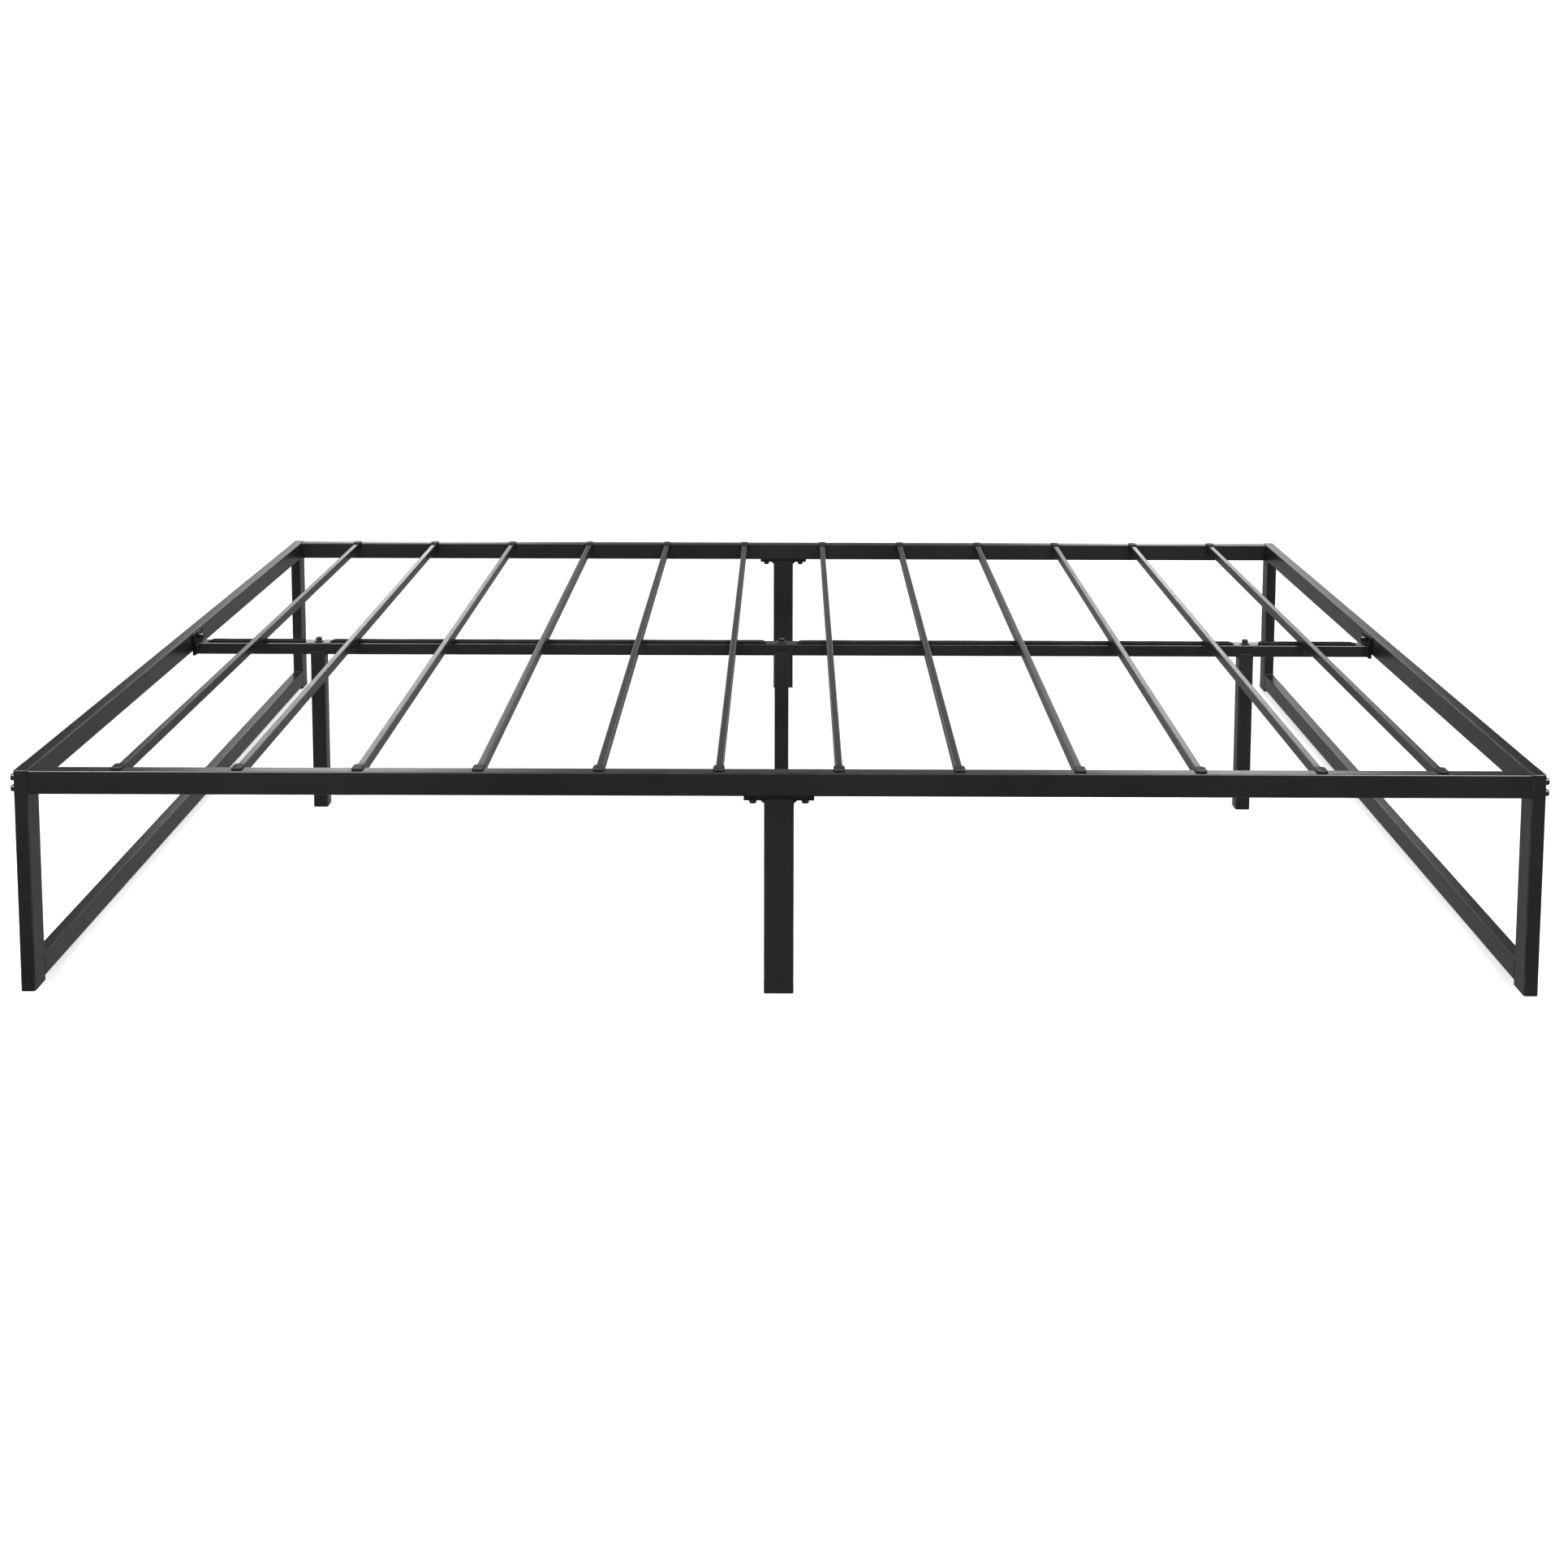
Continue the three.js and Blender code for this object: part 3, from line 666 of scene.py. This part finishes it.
# Rows along a cap's collar, in mm but for the wear: how far past its back face, width, top, bottom and
# wear. The top counts from the tube's top in the first rows and from the tab's top in the others, and
# the bottom counts from the tube's underside.
collarRows = np.array([
    (0.0, 10.7, -0.4, 0.2, 0.8), (0.4, 11.4, 0.0, -0.3, 0.6), (1.6, 11.6, 0.1, -0.4, 0.0),
    (5.8, 12.8, -0.6, -0.4, 0.3), (7.0, 13.0, -0.2, -0.4, 0.5), (10.8, 13.0, -0.2, -0.4, 0.0),
    (11.1, 12.4, -0.5, -0.1, 0.0),
])
rowsOnTube = 3


# A cap: a collar that widens from the tube to the side rail, carried along Y, a tab with a rounded nose
# whose top edge is a quarter ellipse, and a peg that drops into the side rail
def capShells(x, side, slatLow, tabTop, tabFront):
    past, width, rise, sink = collarRows.T[:4] * mm
    y = caps["back"] + past
    tubeTop = slatLow + slats["height"] + caps["tubeTopGap"]
    top = np.where(np.arange(len(y)) < rowsOnTube, tubeTop, tabTop) + rise
    bottom = slatLow + sink
    rings, wear = sweptSection(0 * y, width, top - bottom, caps["radius"] + 0 * y, collarRows[:, 4])
    rings[..., 0] += x
    rings[..., 1] += ((top + bottom) / 2)[:, None]
    rings[..., 2] += side * y[:, None]
    collar = closedShell(turnedTo("y", rings), wear)
    t = np.linspace(0, math.pi / 2, 6)
    rise = caps["tab"]
    sideRise = caps["tabSide"] * rise
    insets = np.append([caps["tabUnderRim"], 0.0], caps["tabRound"] * (1 - np.cos(t)))
    stations = np.append([0.0, caps["tabUnderRise"]], sideRise + (rise - sideRise) * np.sin(t))
    tabLength = tabFront - caps["tabBack"]
    rings, wear = sweptSection(
        stations, caps["tabWidth"] - 2 * insets, tabLength - 2 * insets,
        np.maximum(caps["tabRadius"] - insets, caps["tabLeastRadius"]), np.append([0, 0], np.sin(2 * t)), 7,
    )
    rings = rings + np.array([x, side * (tabFront - tabLength / 2), tabTop - rise])
    # The tab's top is crowned: it falls towards its two long sides by the crown times the share squared
    lean = ((rings[..., 0] - x) / (caps["tabWidth"] / 2)) ** 2
    rings[..., 2] -= caps["crown"] * lean * (stations / rise)[:, None]
    tab = closedShell(rings, wear)
    tip, end = -caps["pegLength"], caps["pegTaper"] - caps["pegLength"]
    peg = turnedShell(
        [(caps["pegBore"], tip, 0, 0), (caps["pegTip"], tip, 0, 0),
         (caps["pegRadius"], end, 0, 0), (caps["pegRadius"], caps["pegInTab"], 0, 0)], caps["pegSides"],
    )
    return [collar, tab, *seated([peg], (x, side * caps["pegPlace"], tabTop - rise), (0, 0, 1))]


for number in range(1, slats["count"] + 1):
    node = f"slat_{number:02d}"
    low, high = corners(node)
    x = (low[0] + high[0]) / 2
    half = slats["width"] / 2
    tube = tubeShell(
        (x - half, -slats["tubeReach"], low[2]),
        (x + half, slats["tubeReach"], low[2] + slats["height"]), "y", tubes["slatRadius"], tubes["wall"],
    )
    putPiece(f"{node}_tube", [tube], coat, "powder_coat", node)
    for side, sideName in ((-1, "front"), (1, "back")):
        shells = capShells(x, side, high[2] - caps["height"], high[2], high[1])
        putPiece(f"{node}_{sideName}_cap", shells, plastic, "black_plastic", node)
print("slats and caps made")


strips = {
    "count": 4, "slant": 5 * mm, "rim": 0.5 * mm, "radius": 0.55 * mm, "waver": 0.35 * mm, "rows": 160,
    "edgeWaves": (34, 91), "secondShare": 0.6, "crown": 0.12 * mm, "crownWaves": (55, 140),
    "topDrop": 0.1 * mm,
}


# A strip is a flat bar carried along X. Its ends slant, as x moves by the slant times the depth share,
# and its long edges and its top waver with two slow sines each.
def stripShell(low, high, seed):
    rng = np.random.default_rng(seed)
    phase = rng.uniform(0, 2 * math.pi, 4)
    length, depth, height = high - low
    s = np.linspace(0, 1, strips["rows"])
    ends = np.minimum(s, 1 - s) * length
    inset = strips["rim"] * np.clip(1 - ends / strips["rim"], 0, 1)
    rings, wear = sweptSection(
        low[0] + s * length, depth - 2 * inset, height - inset, strips["radius"] + 0 * s, 0 * s, 3
    )
    along = s[:, None] * length
    share = rings[..., 0] / depth
    waves = (*strips["edgeWaves"], *strips["crownWaves"])
    a, b, c, d = (np.sin(along * wave + start) for wave, start in zip(waves, phase))
    second = strips["secondShare"]
    y = rings[..., 0] + strips["waver"] / (1 + second) * (a + second * b)
    crown = strips["crown"] * (c + d) / 2 - strips["topDrop"]
    z = rings[..., 1] + (low[2] + high[2]) / 2 + np.where(rings[..., 1] > 0, crown, 0)
    slant = strips["slant"] * share * (1 - 2 * s[:, None])
    x = rings[..., 2] + slant + strips["slant"] / 2 * (1 - 2 * s[:, None])
    return closedShell(np.stack([x, y, z], -1), wear)


for number in range(1, strips["count"] + 1):
    node = f"centre_rail_pad_{number}"
    low, high = corners(node)
    strip = putPiece(f"{node}_foam", [stripShell(low, high, number)], foam, "foam_tape", node)
print("foam strips made")


washers = {"edge": 0.25 * mm, "sides": 48}
springs = {
    "outer": 5.6 * mm, "thickness": 1.4 * mm, "lift": 0.3 * mm, "seatGap": 0.05 * mm,
    "endGap": 0.02,  # share of the turn left out at each end
    "rows": 60, "wear": 0.5,
}
heads = {
    "sides": 48, "bore": 0.4 * mm, "tip": 0.3 * mm, "edge": 0.3 * mm, "domeSteps": 9, "domeWear": 0.35,
    "socketInset": 0.35 * mm, "socketEdge": 0.25 * mm, "socketDepth": 2.3 * mm, "tipDepth": 2.9 * mm,
}


# A washer's section is a rectangle with broken edges, turned about the axis
def washerShell(inner, outer, base, thickness):
    edge = washers["edge"]
    top = base + thickness
    return turnedShell(
        [(inner, base, 0, 0), (outer - edge, base, 0, 0), (outer, base + edge, 0, 0.6),
         (outer, top - edge, 0, 0.6), (outer - edge, top, 0, 1), (inner + edge, top, 0, 0.4),
         (inner, top - edge, 0, 0.4)], washers["sides"], False,
    )


# A spring washer: a square section carried once round, rising by the lift, with a gap between its ends
def springWasher(inner, base):
    outer, thickness, lift, gap = (springs[key] for key in ("outer", "thickness", "lift", "endGap"))
    s = np.linspace(gap, 1 - gap, springs["rows"])[:, None]
    angle = s * 2 * math.pi
    corner = np.array([[0, 0], [1, 0], [1, 1], [0, 1]])
    radius = inner + (outer - inner) * corner[:, 0]
    z = base + thickness * corner[:, 1] + lift * s
    rings = np.stack([radius * np.cos(angle), radius * np.sin(angle), z + 0 * angle], -1)
    return closedShell(rings, springs["wear"] + 0 * z)


# A button head: a short round side, a quarter-ellipse dome and a six-sided socket
def buttonHead(base, radius, height, rimRadius, dome):
    edge, floorLevel = heads["edge"], base + height - heads["socketDepth"]
    top = base + height
    side = top - dome
    rows = [(heads["bore"], base, 0, 0), (radius - edge, base, 0, 0), (radius, base + edge, 0, 0.5)]
    rows += [
        (rimRadius + (radius - rimRadius) * math.cos(a), side + dome * math.sin(a), 0, heads["domeWear"])
        for a in np.linspace(0, math.pi / 2, heads["domeSteps"])
    ]
    socket = rimRadius - heads["socketInset"]
    rows += [
        (rimRadius - 0.1 * mm, top, 0, 1), (socket, top - heads["socketEdge"], 1, 0.8),
        (socket - 0.08 * mm, floorLevel, 1, 0), (socket - 0.3 * mm, floorLevel - 0.2 * mm, 1, 0),
        (heads["tip"], top - heads["tipDepth"], 0, 0),
    ]
    return turnedShell(rows, heads["sides"])


# A flanged six-sided head: a thin round skirt, then the hexagon with a turned chamfer on top
def flangeHead(base, flangeRadius, hexRadius, height):
    top = base + height
    return turnedShell(
        [(heads["bore"], base, 0, 0), (flangeRadius - 0.2 * mm, base, 0, 0),
         (flangeRadius, base + 0.3 * mm, 0, 0.7), (flangeRadius - 0.3 * mm, base + 0.8 * mm, 0, 0.5),
         (hexRadius + 0.15 * mm, base + 1.3 * mm, 0.6, 0), (hexRadius, base + 1.6 * mm, 1, 0),
         (hexRadius, top - 0.7 * mm, 1, 0.5), (hexRadius * 0.9, top - 0.1 * mm, 0.35, 1),
         (hexRadius * 0.8, top, 0, 0.4), (hexRadius * 0.45, top - 0.35 * mm, 0, 0.1),
         (heads["tip"], top - 0.4 * mm, 0, 0)], heads["sides"],
    )


# In mm. Washers: bore radius, radius and thickness. Round heads: radius, height, rim radius and dome.
# Flanged heads: flange radius, radius over the hexagon's corners and height.
bolts = {
    "corner": {"washer": (3.3, 5.2, 1.2), "head": (4.7, 5.0, 3.4, 2.2), "grip": 31, "direction": "out"},
    "middle": {"washer": (3.3, 6.4, 1.2), "head": (6.0, 5.3, 4.6), "grip": 17, "direction": "down"},
    "centre": {"washer": (3.3, 7.5, 1.4), "head": (5.2, 5.4, 3.9, 1.9), "grip": 31, "direction": "up"},
    "bracket": {"washer": (3.3, 6.2, 1.2), "head": (5.0, 6.0, 3.9, 1.7), "grip": 15, "direction": "in"},
}

threads = {"radius": 3 * mm, "pitch": 1 * mm, "depth": 0.35 * mm, "inHead": 0.3 * mm}
bracketStack = 3 * mm  # a washer with a spring washer on it


def boltPieces(node, kind):
    look = bolts[kind]
    low, high = corners(node)
    middlePoint = (low + high) / 2
    towardEnd = -1.0 if middlePoint[0] < 0 else 1.0
    direction = {
        "out": (towardEnd, 0, 0), "in": (-towardEnd, 0, 0), "up": (0, 0, 1), "down": (0, 0, -1)
    }[look["direction"]]
    axis = int(np.argmax(np.abs(direction)))
    sign = direction[axis]
    inner, outer, thick = (value * mm for value in look["washer"])
    stack = bracketStack if kind == "bracket" else thick
    headHeight = (look["head"][2] if kind == "middle" else look["head"][1]) * mm
    seat = middlePoint.copy()
    seat[axis] = (high if sign > 0 else low)[axis] - sign * (stack + headHeight)
    ring = washerShell(inner, outer, 0, thick)
    if kind == "middle":
        flange, across, height = (value * mm for value in look["head"])
        head = flangeHead(stack, flange, across, height)
    else:
        head = buttonHead(stack, *(value * mm for value in look["head"]))
    shank = threadShell(
        threads["radius"], -look["grip"] * mm, stack + threads["inHead"], threads["pitch"], threads["depth"]
    )
    putPiece(f"{node}_screw", seated([head, shank], seat, direction), zinc, "black_zinc", node)
    putPiece(f"{node}_washer", seated([ring], seat, direction), zinc, "black_zinc")
    if kind == "bracket":
        ring = springWasher(inner, thick + springs["seatGap"])
        putPiece(f"{node}_spring_washer", seated([ring], seat, direction), zinc, "black_zinc")


for node in sorted(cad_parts):
    if node.endswith("_bolt"):
        kinds = [kind for kind in ("bracket", "centre", "middle") if kind in node]
        if node.startswith("middle_centre"):
            kinds = ["centre"]
        boltPieces(node, kinds[0] if kinds else "corner")
print("fasteners made")


# A round studio floor that curves up into a low wall: the radius and height of each ring follow a flat
# run, then a quarter turn. It glows more towards the wall: with e the share of the way from glowFrom to
# glowTo, by e^2 (3 - 2 e).
studio = {
    "flat": 8.0, "cove": 3.0, "wall": 7.0, "colour": (0.5, 0.5, 0.5), "middleHole": 0.01,
    "flatRings": 24, "coveRings": 14, "sides": 96,
    "nearGlow": 0.45, "farGlow": 0.9, "glowFrom": 0.8, "glowTo": 4.5,
    "worldLow": 0.135, "worldBack": 0.2, "worldFront": 0.5,
    "worldUpper": 0.22, "backShade": 0.8,
}
t = np.linspace(0, math.pi / 2, studio["coveRings"])
flatRadius = np.linspace(studio["middleHole"], studio["flat"], studio["flatRings"])
ringRadius = np.append(flatRadius, studio["flat"] + studio["cove"] * np.sin(t)[1:])
ringRadius = np.append(ringRadius, ringRadius[-1])[:, None]
ringHeight = np.append(0 * flatRadius, studio["cove"] * (1 - np.cos(t))[1:])
ringHeight = np.append(ringHeight, studio["wall"])[:, None]
around = np.arange(studio["sides"]) / studio["sides"] * 2 * math.pi
rings = np.stack(
    [ringRadius * np.cos(around), ringRadius * np.sin(around), ringHeight + 0 * around], -1
)
mesh = bpy.data.meshes.new("studioFloor")
quads = gridQuads(len(rings), studio["sides"]).tolist() + [list(range(studio["sides"]))]
mesh.from_pydata(rings.reshape(-1, 3).tolist(), [], quads)
glowShare = np.clip((ringRadius - studio["glowFrom"]) / (studio["glowTo"] - studio["glowFrom"]), 0, 1)
glowShare = (glowShare**2 * (3 - 2 * glowShare) + 0 * around).astype(np.float32)
mesh.attributes.new("glow", "FLOAT", "POINT").data.foreach_set("value", glowShare.ravel())
mesh.shade_smooth()
material, tree, shader = newTree("paleFloor")
shader.inputs["Base Color"].default_value = (*studio["colour"], 1)
shader.inputs["Roughness"].default_value = 0.95
shader.inputs["Specular IOR Level"].default_value = 0.1
shader.inputs["Emission Color"].default_value = (1, 1, 1, 1)
glow = addNode(tree, "ShaderNodeAttribute", {"attribute_name": "glow"}).outputs["Fac"]
glow = ranged(tree, glow, 0, 1, studio["nearGlow"], studio["farGlow"])
tree.links.new(glow, shader.inputs["Emission Strength"])
mesh.materials.append(material)
floor = bpy.data.objects.new("studioFloor", mesh)
floor.visible_glossy = False
bpy.context.scene.collection.objects.link(floor)

# Where each part of the room's light starts and ends, in the direction's Y or Z
room = {
    "behind": (0.05, 0.8), "under": (-0.16, 0.14), "front": (-0.5, 0.05), "aboveHorizon": (0.04, 0.16),
    "belowTop": (0.4, 0.7), "upper": (0.33, 0.42),
}
# The room beyond the floor is dim, and dimmest above the horizon on the back side. It brightens low down
# on the back side, as a lit sweep does, in a band above the horizon on the front side, and all round
# higher up.
world = bpy.data.worlds.new("paleStudio")
world.use_nodes = True
tree = world.node_tree
direction = addNode(tree, "ShaderNodeTexCoord").outputs["Generated"]
parts = addNode(tree, "ShaderNodeSeparateXYZ", None, Vector=direction)
behind = ranged(tree, parts.outputs["Y"], *room["behind"], 0, 1)
under = ranged(tree, parts.outputs["Z"], *room["under"], 1, 0)
front = ranged(tree, parts.outputs["Y"], *room["front"], 1, 0)
aboveHorizon = ranged(tree, parts.outputs["Z"], *room["aboveHorizon"], 0, 1)
belowTop = ranged(tree, parts.outputs["Z"], *room["belowTop"], 1, 0)
band = product(tree, product(tree, front, aboveHorizon), belowTop)
backGlow = product(tree, product(tree, behind, under), studio["worldBack"])
glow = product(tree, backGlow, product(tree, band, studio["worldFront"]), "ADD")
upper = product(tree, ranged(tree, parts.outputs["Z"], *room["upper"], 0, 1), belowTop)
glow = product(tree, glow, product(tree, upper, studio["worldUpper"]), "ADD")
shade = product(tree, product(tree, behind, aboveHorizon), studio["backShade"] * studio["worldLow"])
roomGlow = product(tree, studio["worldLow"], shade, "SUBTRACT")
glow = product(tree, glow, roomGlow, "ADD")
backdrop = tree.nodes["Background"]
backdrop.inputs["Color"].default_value = (0.98, 0.99, 1, 1)
tree.links.new(glow, backdrop.inputs["Strength"])
bpy.context.scene.world = world

# Softboxes: place, aim, width, height, power and degrees of turn about the aim. The two outer back ones
# are turned so that each lies along the mirrored paths of two slats.
softboxes = {
    "overLeft": ((-1.75, -1.7, 3.3), (-0.7, -0.6, 0.3), 1.2, 1.8, 190, 0),
    "overRight": ((1.75, -1.7, 3.3), (0.7, -0.6, 0.3), 1.2, 1.8, 190, 0),
    "backLeft": ((-1.64, 4.2, 1.55), (-0.65, 0, 0.3), 0.68, 1.75, 15.5, -37.5),
    "backRight": ((1.64, 4.2, 1.55), (0.65, 0, 0.3), 0.68, 1.75, 15.5, 37.5),
    "backMiddle": ((0, 4.6, 1.3), (0, 0, 0.3), 2.0, 1.8, 4, 0),
    "sideLeft": ((-4.2, 0.3, 1.5), (0, 0, 0.2), 2.4, 1.4, 11, 0),
    "sideRight": ((4.2, 0.3, 1.5), (0, 0, 0.2), 2.4, 1.4, 11, 0),
}
for name, (place, aim, width, height, power, turn) in softboxes.items():
    light = bpy.data.lights.new(name, "AREA")
    light.shape = "RECTANGLE"
    light.size, light.size_y, light.energy = width, height, power
    lamp = bpy.data.objects.new(name, light)
    lamp.location = place
    aimed = (Vector(aim) - Vector(place)).to_track_quat("-Z", "Y")
    lamp.rotation_euler = (aimed @ Quaternion((0, 0, 1), math.radians(turn))).to_euler()
    lamp.visible_camera = False
    bpy.context.scene.collection.objects.link(lamp)

camera = {
    "place": (0.0141, -3.3462, 1.1423), "pitch": 5.923, "yaw": 0.190, "roll": 0.113,
    "lens": 46.08, "shift": -0.28,
}
lens = bpy.data.cameras.new("studioCamera")
lens.sensor_width = 36
lens.lens = camera["lens"]
lens.shift_y = camera["shift"]
eye = bpy.data.objects.new("studioCamera", lens)
eye.location = camera["place"]
eye.rotation_mode = "XYZ"
turn = (
    Matrix.Rotation(math.radians(camera["yaw"]), 3, "Z")
    @ Matrix.Rotation(math.radians(90 - camera["pitch"]), 3, "X")
    @ Matrix.Rotation(math.radians(camera["roll"]), 3, "Z")
)
eye.rotation_euler = turn.to_euler("XYZ")
bpy.context.scene.collection.objects.link(eye)
bpy.context.scene.camera = eye
bpy.context.scene.view_settings.view_transform = "Standard"
bpy.context.scene.view_settings.look = "None"
print("studio made")
